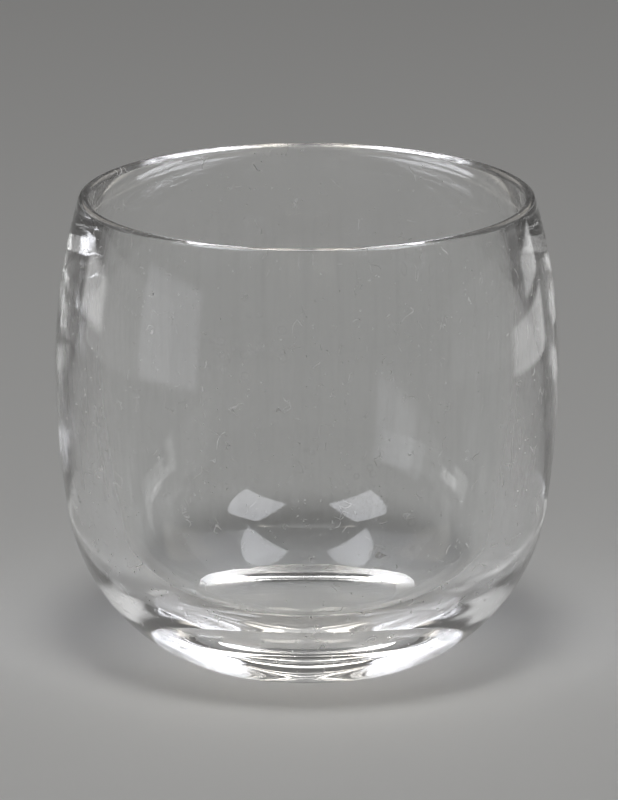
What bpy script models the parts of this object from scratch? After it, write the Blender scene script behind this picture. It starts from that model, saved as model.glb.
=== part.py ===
# A stemless, round-bellied cocktail glass: one piece of clear glass, turned about +Z.
# Metres, +Z up. The origin is the middle of the foot ring, on the surface that the glass stands on.
import math

import bpy
from mathutils import Matrix, Vector

# Outside
HEIGHT = 0.0836
BELLY_DIAMETER = 0.0900
BELLY_HEIGHT = 0.0525
LOWER_WALL_RADIUS = 0.1776      # upright curve of the wall from the belly down
BASE_RADIUS = 0.0350            # round turn from the wall to the foot

# Rim
RIM_DIAMETER = 0.0815
RIM_THICKNESS = 0.0022          # the rim is melted to a full round of this thickness

# Foot
FOOT_DIAMETER = 0.0463          # outer edge of the flat ring that touches the table
FOOT_RING_WIDTH = 0.0040
FOOT_EDGE_RADIUS = 0.0015
FOOT_HOLLOW = 0.0010            # how far the middle of the underside is lifted off the table

# Inside
INNER_WIDEST_HEIGHT = 0.0700    # the inside is widest here and stays upright from here to the rim
BELLY_WALL = 0.0064             # half the difference between the belly and the widest of the inside
INNER_WALL_RADIUS = 0.2200      # upright curve of the inner wall below its widest height
INNER_CORNER_RADIUS = 0.0192    # round turn from the inner wall to the inner floor
INNER_FLOOR_RADIUS = 0.1300     # shallow bowl of the inner floor
BASE_THICKNESS = 0.0093         # solid glass from the table to the middle of the inner floor

# Facets
SEGMENTS = 72                   # round the axis
FACET_ANGLE = math.radians(15)  # largest turn of the outline in one facet
FACET_LENGTH = 0.0070           # longest facet of the outline
WELD = 0.000001                 # joins the first and last turn, and the points on the axis

GLASS_COLOUR = (0.93, 0.95, 0.95, 1.0)
GLASS_ROUGHNESS = 0.03
GLASS_IOR = 1.52


def facets(turn, length):
    return max(1, math.ceil(abs(turn) / FACET_ANGLE), math.ceil(length / FACET_LENGTH))


def arc(centre, start, end):
    # Points after the start, round the centre to the end by the short way.
    arm = start - centre
    reach = end - centre
    turn = math.atan2(arm.x * reach.y - arm.y * reach.x, arm.dot(reach))
    count = facets(turn, abs(turn) * arm.length)
    return [centre + Matrix.Rotation(turn * step / count, 2) @ arm for step in range(1, count + 1)]


def touch(centre, radius, inner_centre):
    # Where a circle meets a smaller one that touches it from inside.
    return centre + radius * (inner_centre - centre).normalized()


def at_distances(first, first_distance, second, second_distance):
    # The point at the two distances from the two centres, left of the line from first to second.
    along = second - first
    gap = along.length
    forward = (first_distance ** 2 - second_distance ** 2 + gap ** 2) / (2 * gap)
    aside = math.sqrt(first_distance ** 2 - forward ** 2)
    ahead = along / gap
    return first + forward * ahead + aside * Vector((-ahead.y, ahead.x))


def flank(widest, crown, crown_radius):
    # Points up from the widest place, on the arc that is upright there and runs into the round of the rim.
    # The radius of that round counts as negative for the outer side of the wall.
    # The bend is one over the radius of the arc, so that a straight wall has a bend of nought.
    aside = widest.x - crown.x
    rise = crown.y - widest.y
    bend = 2 * (aside + crown_radius) / (aside ** 2 + rise ** 2 - crown_radius ** 2)
    height = rise / (1 + bend * crown_radius)
    count = facets(math.asin(bend * height), height)
    levels = [height * step / count for step in range(count + 1)]
    leans = [bend * level ** 2 / (1 + math.sqrt(1 - (bend * level) ** 2)) for level in levels]
    return [widest + Vector((-lean, level)) for lean, level in zip(leans, levels)]


def outer_side(crown):
    # From the rim down to the outer edge of the foot ring.
    belly = Vector((BELLY_DIAMETER / 2, BELLY_HEIGHT))
    shoulder = flank(belly, crown, -RIM_THICKNESS / 2)

    wall_centre = belly - Vector((LOWER_WALL_RADIUS, 0))
    edge_centre = Vector((FOOT_DIAMETER / 2, FOOT_EDGE_RADIUS))
    base_centre = at_distances(
        wall_centre, LOWER_WALL_RADIUS - BASE_RADIUS, edge_centre, BASE_RADIUS - FOOT_EDGE_RADIUS
    )
    wall_end = touch(wall_centre, LOWER_WALL_RADIUS, base_centre)
    base_end = touch(base_centre, BASE_RADIUS, edge_centre)
    foot_edge = Vector((FOOT_DIAMETER / 2, 0))
    lower = arc(wall_centre, belly, wall_end)
    lower += arc(base_centre, wall_end, base_end)
    lower += arc(edge_centre, base_end, foot_edge)
    return shoulder[::-1] + lower


def underside():
    # The flat ring is one step, then a shallow hollow rises to the axis.
    ring_inside = Vector((FOOT_DIAMETER / 2 - FOOT_RING_WIDTH, 0))
    hollow_radius = (ring_inside.x ** 2 + FOOT_HOLLOW ** 2) / (2 * FOOT_HOLLOW)
    hollow_centre = Vector((0, FOOT_HOLLOW - hollow_radius))
    return [ring_inside] + arc(hollow_centre, ring_inside, Vector((0, FOOT_HOLLOW)))


def inner_side(crown):
    # From the middle of the inner floor up to the rim.
    widest = Vector((BELLY_DIAMETER / 2 - BELLY_WALL, INNER_WIDEST_HEIGHT))
    floor_middle = Vector((0, BASE_THICKNESS))
    floor_centre = floor_middle + Vector((0, INNER_FLOOR_RADIUS))
    wall_centre = widest - Vector((INNER_WALL_RADIUS, 0))
    corner_centre = at_distances(
        floor_centre, INNER_FLOOR_RADIUS - INNER_CORNER_RADIUS,
        wall_centre, INNER_WALL_RADIUS - INNER_CORNER_RADIUS,
    )
    floor_end = touch(floor_centre, INNER_FLOOR_RADIUS, corner_centre)
    wall_start = touch(wall_centre, INNER_WALL_RADIUS, corner_centre)
    lower = [floor_middle] + arc(floor_centre, floor_middle, floor_end)
    lower += arc(corner_centre, floor_end, wall_start)
    lower += arc(wall_centre, wall_start, widest)
    return lower + flank(widest, crown, RIM_THICKNESS / 2)[1:]


def rim_round(crown, inner_end, outer_end):
    # Over the top of the rim, from the inner side to the outer one, without the two ends.
    top = crown + Vector((0, RIM_THICKNESS / 2))
    return arc(crown, inner_end, top) + arc(crown, top, outer_end)[:-1]


def glass_outline():
    # One open line, from the inner floor over the rim and down the outside to the underside.
    crown = Vector((RIM_DIAMETER / 2 - RIM_THICKNESS / 2, HEIGHT - RIM_THICKNESS / 2))
    inside = inner_side(crown)
    outside = outer_side(crown)
    return inside + rim_round(crown, inside[-1], outside[0]) + outside + underside()


def clear_glass():
    material = bpy.data.materials.new("clear_glass")
    material.use_nodes = True
    shader = material.node_tree.nodes["Principled BSDF"]
    shader.inputs["Base Color"].default_value = GLASS_COLOUR
    shader.inputs["Roughness"].default_value = GLASS_ROUGHNESS
    shader.inputs["Metallic"].default_value = 0.0
    shader.inputs["IOR"].default_value = GLASS_IOR
    shader.inputs["Transmission Weight"].default_value = 1.0
    return material


def turned_piece(name, outline, material):
    mesh = bpy.data.meshes.new(name)
    points = [(point.x, 0.0, point.y) for point in outline]
    edges = [(index, index + 1) for index in range(len(points) - 1)]
    mesh.from_pydata(points, edges, [])
    mesh.materials.append(material)
    piece = bpy.data.objects.new(name, mesh)
    bpy.context.collection.objects.link(piece)
    turning = piece.modifiers.new("turning", 'SCREW')
    turning.axis = 'Z'
    turning.angle = math.tau
    turning.steps = SEGMENTS
    turning.render_steps = SEGMENTS
    turning.use_merge_vertices = True
    turning.merge_threshold = WELD
    turning.use_smooth_shade = True
    return piece


for leftover in list(bpy.data.objects):
    bpy.data.objects.remove(leftover)
turned_piece("tumbler", glass_outline(), clear_glass())
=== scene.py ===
# Looks of a stemless cocktail glass: clear glass, worn foot ring, dust and drying marks
import math

import bmesh
import bpy
from mathutils import Matrix, Vector


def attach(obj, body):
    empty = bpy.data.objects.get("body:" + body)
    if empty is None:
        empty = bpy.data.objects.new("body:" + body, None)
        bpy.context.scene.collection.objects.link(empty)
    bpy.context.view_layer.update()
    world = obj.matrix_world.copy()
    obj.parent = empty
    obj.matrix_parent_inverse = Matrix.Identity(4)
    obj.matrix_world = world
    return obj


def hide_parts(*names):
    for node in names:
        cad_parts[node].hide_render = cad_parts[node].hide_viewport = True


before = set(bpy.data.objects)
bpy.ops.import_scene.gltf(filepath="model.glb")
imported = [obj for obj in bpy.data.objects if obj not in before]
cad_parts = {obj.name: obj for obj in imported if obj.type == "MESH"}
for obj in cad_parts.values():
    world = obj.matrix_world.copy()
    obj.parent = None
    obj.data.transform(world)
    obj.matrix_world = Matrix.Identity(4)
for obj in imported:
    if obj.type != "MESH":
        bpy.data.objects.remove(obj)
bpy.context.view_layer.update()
print("frame:", ", ".join(sorted(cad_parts)))

# Shader sums
class Wire:  # a socket that can stand in a sum
    def __init__(self, tree, socket=None):
        self.tree = tree
        self.socket = socket

    def add(self, kind, settings, values, out=0):  # any node: settings first, then sockets
        node = self.tree.nodes.new("ShaderNode" + kind)
        for name, value in settings.items():
            setattr(node, name, value)
        for name, value in values.items():
            if isinstance(value, Wire):
                self.tree.links.new(value.socket, node.inputs[name])
            else:
                node.inputs[name].default_value = value
        return Wire(self.tree, node.outputs[out])

    def maths(self, operation, *terms):
        return self.add("Math", {"operation": operation}, dict(enumerate(terms)))

    def __add__(self, other):
        return self.maths('ADD', self, other)

    def __rsub__(self, other):
        return self.maths('SUBTRACT', other, self)

    def __mul__(self, other):
        return self.maths('MULTIPLY', self, other)

    __radd__ = __add__
    __rmul__ = __mul__

    def rise(self, low, high):  # 0 below low, 1 above high, smooth between them
        values = {"Value": self, "From Min": low, "From Max": high}
        return self.add("MapRange", {"interpolation_type": 'SMOOTHSTEP'}, values)

    def fall(self, low, high):  # 1 below low, 0 above high
        return 1 - self.rise(low, high)


def newMaterial(name):
    material = bpy.data.materials.new(name)
    material.use_nodes = True
    material.node_tree.nodes.clear()
    return material, Wire(material.node_tree)


def closeMaterial(wire, surface):
    output = wire.tree.nodes.new("ShaderNodeOutputMaterial")
    wire.tree.links.new(surface.socket, output.inputs["Surface"])


# Tumbler: sizes in metres, as the real glass
tumbler = {
    "height": 0.0836,
    "bellyRadius": 0.0450,
    "bellyHeight": 0.0525,
    "lowerWallRadius": 0.1776,
    "baseRadius": 0.0350,
    "rimRadius": 0.04075,
    "rimThickness": 0.0022,
    "footRadius": 0.02315,
    "footRingWidth": 0.0040,
    "footEdgeRadius": 0.0015,
    "footHollow": 0.0010,
    "ringRidges": 9,  # fine ridges round the foot ring, left by grinding
    "ridgeDepth": 0.00003,
    "ridgeSteps": 8,  # facets across one ridge
    "innerBellyRadius": 0.0386,
    "innerBellyHeight": 0.0700,
    "innerWallRadius": 0.2200,
    "innerCornerRadius": 0.0192,
    "innerFloorRadius": 0.1300,
    "baseThickness": 0.0093,
    "segments": 288,
    "facetAngle": math.radians(3),
    "facetLength": 0.0016,
    "weld": 1e-7,  # joins the first and last turn, and the points on the axis
    "near": 1e-6,  # how close a point lies to the ring's inner edge to count as on it
}


def facets(turn, length):
    byAngle = math.ceil(abs(turn) / tumbler["facetAngle"])
    byLength = math.ceil(length / tumbler["facetLength"])
    return max(1, byAngle, byLength)


def arc(centre, start, end):  # points after the start, the short way round to the end
    arm = start - centre
    reach = end - centre
    turn = math.atan2(arm.x * reach.y - arm.y * reach.x, arm.dot(reach))
    count = facets(turn, abs(turn) * arm.length)
    return [centre + Matrix.Rotation(turn * step / count, 2) @ arm for step in range(1, count + 1)]


def touch(centre, radius, innerCentre):  # where a smaller circle touches this one from inside
    return centre + radius * (innerCentre - centre).normalized()


def atDistances(first, firstDistance, second, secondDistance):  # left of the line from first to second
    gap = (second - first).length
    ahead = (second - first) / gap
    forward = (firstDistance ** 2 - secondDistance ** 2 + gap ** 2) / (2 * gap)
    aside = math.sqrt(firstDistance ** 2 - forward ** 2)
    return first + forward * ahead + aside * Vector((-ahead.y, ahead.x))


def flank(belly, crown, crownRadius):  # up from the belly into the round of the rim
    aside = belly.x - crown.x
    rise = crown.y - belly.y
    bend = 2 * (aside + crownRadius) / (aside ** 2 + rise ** 2 - crownRadius ** 2)
    height = rise / (1 + bend * crownRadius)
    count = facets(math.asin(bend * height), height)
    levels = [height * step / count for step in range(count + 1)]
    leans = [bend * level ** 2 / (1 + math.sqrt(1 - (bend * level) ** 2)) for level in levels]
    return [belly + Vector((-lean, level)) for lean, level in zip(leans, levels)]


def outerSide(crown):
    belly = Vector((tumbler["bellyRadius"], tumbler["bellyHeight"]))
    wallRadius = tumbler["lowerWallRadius"]
    baseRadius = tumbler["baseRadius"]
    edgeRadius = tumbler["footEdgeRadius"]
    wallCentre = belly - Vector((wallRadius, 0))
    edgeCentre = Vector((tumbler["footRadius"], edgeRadius))
    baseCentre = atDistances(wallCentre, wallRadius - baseRadius, edgeCentre, baseRadius - edgeRadius)
    wallEnd = touch(wallCentre, wallRadius, baseCentre)
    baseEnd = touch(baseCentre, baseRadius, edgeCentre)
    lower = arc(wallCentre, belly, wallEnd)
    lower += arc(baseCentre, wallEnd, baseEnd)
    lower += arc(edgeCentre, baseEnd, Vector((tumbler["footRadius"], 0)))
    return flank(belly, crown, -tumbler["rimThickness"] / 2)[::-1] + lower


def underside():
    hollow = tumbler["footHollow"]
    ringInside = Vector((tumbler["footRadius"] - tumbler["footRingWidth"], 0))
    hollowRadius = (ringInside.x ** 2 + hollow ** 2) / (2 * hollow)
    steps = tumbler["ridgeSteps"] * tumbler["ringRidges"]
    ring = []
    for step in range(1, steps + 1):  # crests stand on the table
        groove = (1 - math.cos(math.tau * tumbler["ringRidges"] * step / steps)) / 2
        inward = tumbler["footRingWidth"] * step / steps
        ring.append(Vector((tumbler["footRadius"] - inward, groove * tumbler["ridgeDepth"])))
    return ring + arc(Vector((0, hollow - hollowRadius)), ringInside, Vector((0, hollow)))


def innerSide(crown):
    belly = Vector((tumbler["innerBellyRadius"], tumbler["innerBellyHeight"]))
    floorRadius = tumbler["innerFloorRadius"]
    wallRadius = tumbler["innerWallRadius"]
    cornerRadius = tumbler["innerCornerRadius"]
    floorMiddle = Vector((0, tumbler["baseThickness"]))
    floorCentre = floorMiddle + Vector((0, floorRadius))
    wallCentre = belly - Vector((wallRadius, 0))
    cornerCentre = atDistances(
        floorCentre, floorRadius - cornerRadius, wallCentre, wallRadius - cornerRadius)
    floorEnd = touch(floorCentre, floorRadius, cornerCentre)
    wallStart = touch(wallCentre, wallRadius, cornerCentre)
    lower = [floorMiddle] + arc(floorCentre, floorMiddle, floorEnd)
    lower += arc(cornerCentre, floorEnd, wallStart) + arc(wallCentre, wallStart, belly)
    return lower + flank(belly, crown, tumbler["rimThickness"] / 2)[1:]


def glassOutline():
    halfRim = tumbler["rimThickness"] / 2
    crown = Vector((tumbler["rimRadius"] - halfRim, tumbler["height"] - halfRim))
    crownTop = crown + Vector((0, halfRim))
    inside = innerSide(crown)
    outside = outerSide(crown)
    rim = arc(crown, inside[-1], crownTop) + arc(crown, crownTop, outside[0])[:-1]
    return inside + rim + outside + underside()


def turnedMesh(name, outline, segments):
    build = bmesh.new()
    points = [build.verts.new((point.x, 0.0, point.y)) for point in outline]
    edges = [build.edges.new(pair) for pair in zip(points, points[1:])]
    bmesh.ops.spin(build, geom=points + edges, axis=(0, 0, 1), cent=(0, 0, 0), angle=math.tau,
                   steps=segments, use_merge=True)
    bmesh.ops.remove_doubles(build, verts=build.verts, dist=tumbler["weld"])
    bmesh.ops.recalc_face_normals(build, faces=build.faces)
    for face in build.faces:
        face.smooth = True
    ringInside = tumbler["footRadius"] - tumbler["footRingWidth"]
    for edge in build.edges:  # the foot ring meets its hollow at an edge
        offRing = [max(abs(v.co.z), abs(v.co.xy.length - ringInside)) for v in edge.verts]
        edge.smooth = max(offRing) >= tumbler["near"]
    mesh = bpy.data.meshes.new(name)
    build.to_mesh(mesh)
    build.free()
    return mesh


# Glass: clear, with a ground foot ring, dust, lint, drying streaks and water spots
finish = {  # scales count per metre, pairs are where a mask begins and is full
    "ior": 1.52,
    "tint": (0.995, 1.0, 0.998, 1.0),
    "filmColour": (0.96, 0.95, 0.93, 1.0),
    "filmRoughness": 0.7,
    "ringInside": (0.0188, 0.0192),  # radii between which the worn band of the foot ring begins
    "ringTop": (0.00008, 0.0002),  # heights between which it ends
    "ringRoughness": 0.03,  # ground ring, between its scratches
    "scratchRoughness": 0.12,
    "scratchScale": 9000,
    "scratchShare": (0.35, 0.65),
    "smudge": 0.05,  # roughness where fingers have been
    "smudgeScale": 55.0,
    "smudgeShare": (0.52, 0.70),
    "wave": 0.00002,  # metres, unevenness left by the mould
    "waveScale": 70.0,
    "dust": 1.0,
    "dustScale": 640.0,
    "dustSize": (0.04, 0.10),
    "dustShare": (0.88, 0.96),
    "driftScale": 42.0,
    "drift": 0.9,  # how far the dust gathers in drifts
    "lint": 1.0,
    "lintScale": 150.0,
    "lintWidth": (0.003, 0.009),
    "lintBend": 0.006,  # metres
    "lintBendScale": 260.0,
    "lintPartScale": 310.0,
    "lintShare": (0.70, 0.73),
    "streaks": 0.06,
    "streakScale": (520.0, 520.0, 14.0),
    "streakShare": (0.45, 0.75),
    "streakFoot": (0.026, 0.040),  # heights between which the streaks begin
    "streakHead": (0.058, 0.076),  # heights between which they end
    "spots": 0.12,
    "spotScale": 330.0,
    "spotInside": (0.16, 0.24),
    "spotOutside": (0.24, 0.32),
    "spotPatchScale": 30.0,
    "spotShare": (0.66, 0.74),
}


def noise(place, scale, detail, out=0):
    return place.add("TexNoise", {}, {"Vector": place, "Scale": scale, "Detail": detail}, out)


def cellDots(place, scale, out):  # one dot in each cell, set at chance
    return place.add("TexVoronoi", {}, {"Vector": place, "Scale": scale, "Randomness": 1.0}, out)


def dustMask(place):  # small specks, thicker in drifts
    near = cellDots(place, finish["dustScale"], "Distance")
    colour = cellDots(place, finish["dustScale"], "Color")
    pick = place.add("SeparateColor", {}, {"Color": colour}, "Red")
    drift = noise(place, finish["driftScale"], 3.0)
    return near.fall(*finish["dustSize"]) * (pick + finish["drift"] * drift).rise(*finish["dustShare"])


def lintMask(place):  # short bent fibres: pieces of a bent net of lines
    bend = noise(place, finish["lintBendScale"], 1.0, "Color")
    reach = (finish["lintBend"],) * 3
    bent = place.add("VectorMath", {"operation": 'MULTIPLY_ADD'}, {0: bend, 1: reach, 2: place})
    net = {"Vector": bent, "Scale": finish["lintScale"]}
    line = place.add("TexVoronoi", {"feature": 'DISTANCE_TO_EDGE'}, net, "Distance")
    part = noise(place, finish["lintPartScale"], 0.0)
    return line.fall(*finish["lintWidth"]) * part.rise(*finish["lintShare"])


def streakMask(place, height):  # run-down marks, left as the glass dried
    drawn = place.add("VectorMath", {"operation": 'MULTIPLY'}, {0: place, 1: finish["streakScale"]})
    run = noise(drawn, 1.0, 1.5)
    band = height.rise(*finish["streakFoot"]) * height.fall(*finish["streakHead"])
    return run.rise(*finish["streakShare"]) * band


def spotMask(place):  # rims of dried drops
    near = cellDots(place, finish["spotScale"], "Distance")
    patch = noise(place, finish["spotPatchScale"], 1.0)
    ring = near.rise(*finish["spotInside"]) * near.fall(*finish["spotOutside"])
    return ring * patch.rise(*finish["spotShare"])


def wornRing(place, height):  # roughness of the foot ring, with fine scratches round it
    flat = place.add("VectorMath", {"operation": 'MULTIPLY'}, {0: place, 1: (1, 1, 0)})
    radius = place.add("VectorMath", {"operation": 'LENGTH'}, {0: flat}, "Value")
    ring = height.fall(*finish["ringTop"]) * radius.rise(*finish["ringInside"])
    across = {"W": radius * finish["scratchScale"], "Scale": 1.0, "Detail": 2.0}
    scratches = place.add("TexNoise", {"noise_dimensions": '1D'}, across)
    rough = finish["ringRoughness"] + finish["scratchRoughness"] * scratches.rise(*finish["scratchShare"])
    return ring * rough


def glassMaterial():
    material, start = newMaterial("clear_glass")
    place = start.add("TexCoord", {}, {}, "Object")
    height = start.add("SeparateXYZ", {}, {"Vector": place}, "Z")
    hand = noise(place, finish["smudgeScale"], 4.0)
    swell = noise(place, finish["waveScale"], 1.0)
    bump = start.add("Bump", {}, {"Strength": 1.0, "Distance": finish["wave"], "Height": swell})
    roughness = wornRing(place, height) + finish["smudge"] * hand.rise(*finish["smudgeShare"])
    glass = start.add("BsdfPrincipled", {}, {
        "Base Color": finish["tint"], "Roughness": roughness, "IOR": finish["ior"],
        "Transmission Weight": 1.0, "Normal": bump})
    film = start.add("BsdfPrincipled", {}, {
        "Base Color": finish["filmColour"], "Roughness": finish["filmRoughness"]})
    soil = finish["dust"] * dustMask(place) + finish["lint"] * lintMask(place)
    soil = soil + finish["streaks"] * streakMask(place, height) + finish["spots"] * spotMask(place)
    cover = start.add("Clamp", {}, {"Value": soil})
    closeMaterial(start, start.add("MixShader", {}, {0: cover, 1: glass, 2: film}))
    return material


glassMesh = turnedMesh("tumbler_glass", glassOutline(), tumbler["segments"])
piece = bpy.data.objects.new("tumbler_glass", glassMesh)
bpy.context.scene.collection.objects.link(piece)
piece.data.materials.append(glassMaterial())
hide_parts("tumbler")
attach(piece, "root")
print("tumbler:", len(piece.data.polygons), "faces")

# Floor and light
studio = {
    "floorColour": (0.74, 0.74, 0.73, 1.0),
    "floorRoughness": 0.75,
    "floorSize": 8.0,
    "worldColour": (1.0, 0.98, 0.96, 1.0),
    "world": 0.11,
    "aim": Vector((0, 0, 0.06)),
}
# degrees round from the camera, distance out, height, width, tall, soft edge as a share of the lamp,
# watts, tint, what it lights
lamps = {
    "pool": (0, 0.23, 1.14, 0.40, 0.40, 0.35, 7.4, "plain", "floor"),
    "fill": (0, 0.60, 1.40, 1.20, 1.20, 0.35, 4.5, "plain", "floor, no shadow"),
    "backLeft": (-150, 0.36, 0.84, 0.28, 0.28, 0.15, 1.5, "warm", "glass"),
    "backRight": (150, 0.36, 0.84, 0.28, 0.28, 0.15, 1.5, "warm", "glass"),
    "backTop": (180, 0.30, 0.92, 0.40, 0.40, 0.20, 0.7, "plain", "glass"),
    "highLeft": (-72, 0.45, 0.84, 0.42, 0.50, 0.06, 3.6, "cool", "glass"),
    "highRight": (70, 0.45, 0.84, 0.42, 0.50, 0.06, 3.6, "cool", "glass"),
    "sideLeft": (-113, 0.45, 0.040, 0.19, 0.076, 0.25, 0.105, "plain", "glass"),
    "sideRight": (116, 0.27, 0.019, 0.17, 0.038, 0.15, 0.030, "plain", "glass"),
    "sideBack": (126, 0.45, 0.043, 0.155, 0.046, 0.20, 0.040, "plain", "glass"),
    "bandLeft": (-150, 0.60, 0.36, 0.45, 0.30, 0.20, 0.35, "warm", "glass"),
    "bandRight": (150, 0.60, 0.36, 0.45, 0.30, 0.20, 0.35, "warm", "glass"),
    "lowLeft": (-115, 0.45, 0.150, 0.24, 0.07, 0.30, 0.032, "plain", "glass"),
    "lowRight": (112, 0.45, 0.150, 0.24, 0.07, 0.30, 0.040, "plain", "glass"),
    "window": (-62, 0.33, 0.062, 0.20, 0.124, 0.12, 0.09, "cool", "glass"),
    "wallLeft": (-88, 0.34, 0.050, 0.36, 0.10, 0.04, 0.045, "plain", "glass"),
    "wallRight": (92, 0.34, 0.050, 0.36, 0.10, 0.04, 0.030, "plain", "glass"),
}
tints = {"plain": (1.0, 1.0, 1.0), "cool": (0.93, 0.94, 1.0), "warm": (1.0, 0.94, 0.85)}


def floorMaterial():
    material, start = newMaterial("pale_floor")
    closeMaterial(start, start.add("BsdfPrincipled", {}, {
        "Base Color": studio["floorColour"], "Roughness": studio["floorRoughness"]}))
    return material


def addFloor():  # the glass stands on it
    build = bmesh.new()
    bmesh.ops.create_grid(build, x_segments=1, y_segments=1, size=studio["floorSize"] / 2)
    mesh = bpy.data.meshes.new("floor")
    build.to_mesh(mesh)
    build.free()
    mesh.materials.append(floorMaterial())
    floor = bpy.data.objects.new("floor", mesh)
    bpy.context.scene.collection.objects.link(floor)
    return floor


def softenLamp(light, edge):  # brightest in the middle, as a softbox is
    light.use_nodes = True
    light.node_tree.nodes.clear()
    start = Wire(light.node_tree)
    spot = start.add("NewGeometry", {}, {}, "Parametric")
    across = start.add("SeparateXYZ", {}, {"Vector": spot}, "X")
    along = start.add("SeparateXYZ", {}, {"Vector": spot}, "Y")
    fade = across.rise(0, edge) * across.fall(1 - edge, 1) * along.rise(0, edge) * along.fall(1 - edge, 1)
    glow = start.add("Emission", {}, {"Strength": fade})
    output = light.node_tree.nodes.new("ShaderNodeOutputLight")
    light.node_tree.links.new(glow.socket, output.inputs["Surface"])


def addLamp(name, around, out, height, width, tall, edge, watts, tint, lit):
    light = bpy.data.lights.new(name, 'AREA')
    light.shape = 'RECTANGLE'
    light.size = width
    light.size_y = tall
    light.energy = watts
    light.color = tints[tint]
    light.use_shadow = "no shadow" not in lit
    softenLamp(light, edge)
    lamp = bpy.data.objects.new(name, light)
    bpy.context.scene.collection.objects.link(lamp)
    turn = math.radians(around)
    lamp.location = (out * math.sin(turn), -out * math.cos(turn), height)
    lamp.rotation_euler = (studio["aim"] - lamp.location).to_track_quat('-Z', 'Y').to_euler()
    lamp.visible_camera = False
    lamp.light_linking.receiver_collection = litCollections[lit.split(",")[0]]


def addWorld():
    world = bpy.data.worlds.new("studio")
    world.use_nodes = True
    background = world.node_tree.nodes["Background"]
    background.inputs["Color"].default_value = studio["worldColour"]
    background.inputs["Strength"].default_value = studio["world"]
    bpy.context.scene.world = world


litCollections = {lit: bpy.data.collections.new("lit_" + lit) for lit in ("floor", "glass")}
litCollections["floor"].objects.link(addFloor())
litCollections["glass"].objects.link(piece)
addWorld()
for name, values in lamps.items():
    addLamp(name, *values)
print("studio:", len(lamps), "lamps")

# Camera, at the photo's viewing angle
view = {
    "distance": 1.1556,
    "height": 0.3653,
    "pitch": 15.459,  # degrees below level
    "focalPixels": 6692.4,
    "frameWidth": 618,
    "frameHeight": 800,
    "axisPixel": 306.9,  # where the axis of the glass stands in the frame
    "sensorWidth": 36.0,
    "clipStart": 0.01,
}


def addCamera():
    data = bpy.data.cameras.new("camera")
    data.sensor_width = view["sensorWidth"]
    data.lens = view["focalPixels"] * data.sensor_width / view["frameHeight"]
    data.shift_x = (view["frameWidth"] / 2 - view["axisPixel"]) / view["frameHeight"]
    data.clip_start = view["clipStart"]
    camera = bpy.data.objects.new("camera", data)
    camera.location = (0, -view["distance"], view["height"])
    camera.rotation_euler = (math.radians(90 - view["pitch"]), 0, 0)
    bpy.context.scene.collection.objects.link(camera)
    bpy.context.scene.camera = camera


def setRender():  # thick glass needs many bounces
    scene = bpy.context.scene
    scene.view_settings.view_transform = 'Standard'
    scene.cycles.max_bounces = 32
    scene.cycles.transmission_bounces = 32
    scene.cycles.glossy_bounces = 24
    scene.cycles.use_denoising = True


addCamera()
setRender()
